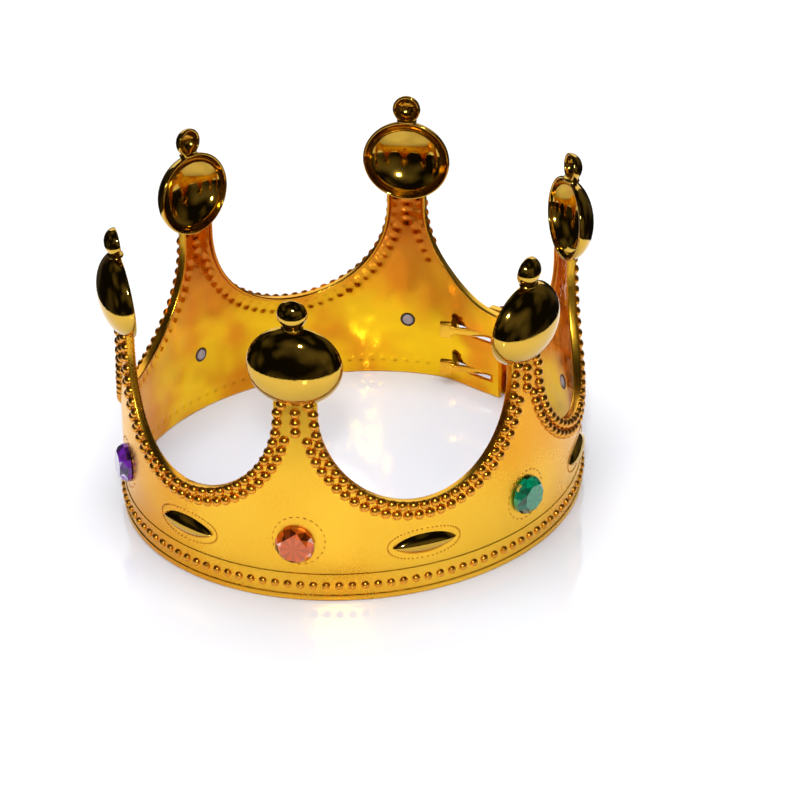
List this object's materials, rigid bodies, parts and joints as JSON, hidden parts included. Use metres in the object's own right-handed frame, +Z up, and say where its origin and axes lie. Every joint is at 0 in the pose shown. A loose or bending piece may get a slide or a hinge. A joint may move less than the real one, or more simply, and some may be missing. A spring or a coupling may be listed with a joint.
{
  "type": "toy crown",
  "caption": "Adjustable costume crown: a gold plated plastic strip with domed points and stick-on gems, rolled into a ring and hooked shut with twisting T tabs.",
  "frame": {"origin": "middle of the ring, in the plane that the base rim stands on", "axes": "+Z up, -Y is the front of the crown, the closure is at +Y"},
  "size_m": [0.1986, 0.1976, 0.1306],
  "materials": {
    "plated_band": "vacuum metallised gold, satin gloss",
    "plated_dome": "vacuum metallised gold, mirror gloss",
    "gem_orange": "faceted, polished, foil backed",
    "gem_green": "faceted, polished, foil backed",
    "gem_purple": "faceted, polished, foil backed"
  },
  "bodies": {
    "left_half": {"panel_front_left": "plated_band", "dome_front_left": "plated_dome", "bead_front_left": "plated_dome", "gem_front_left": "gem_purple", "panel_side_left": "plated_band", "dome_side_left": "plated_dome", "bead_side_left": "plated_dome", "gem_side_left": "gem_green", "panel_rear_left": "plated_band", "dome_rear_left": "plated_dome", "bead_rear_left": "plated_dome", "gem_rear_left": "gem_orange"},
    "right_half": {"panel_front_right": "plated_band", "dome_front_right": "plated_dome", "bead_front_right": "plated_dome", "gem_front_right": "gem_orange", "panel_side_right": "plated_band", "dome_side_right": "plated_dome", "bead_side_right": "plated_dome", "gem_side_right": "gem_green", "panel_rear_right": "plated_band", "dome_rear_right": "plated_dome", "bead_rear_right": "plated_dome", "gem_rear_right": "gem_purple"},
    "upper_tab": {"tab_upper": "plated_band"},
    "lower_tab": {"tab_lower": "plated_band"}
  },
  "joints": [
    {"name": "size_flex", "type": "hinge", "parent": "left_half", "child": "right_half", "pos_m": [0, -0.096, 0], "axis": [0, 0, -1], "range_deg": [0, 1.5]},
    {"name": "upper_tab_twist", "type": "hinge", "parent": "right_half", "child": "upper_tab", "pos_m": [-0.00629, 0.09577, 0.0265], "axis": [-0.8802, -0.4747, 0], "range_deg": [0, 90], "stiffness_Nm_per_rad": 0.02},
    {"name": "lower_tab_twist", "type": "hinge", "parent": "right_half", "child": "lower_tab", "pos_m": [-0.00629, 0.09577, 0.0082], "axis": [-0.8802, -0.4747, 0], "range_deg": [0, 90], "stiffness_Nm_per_rad": 0.02}
  ]
}
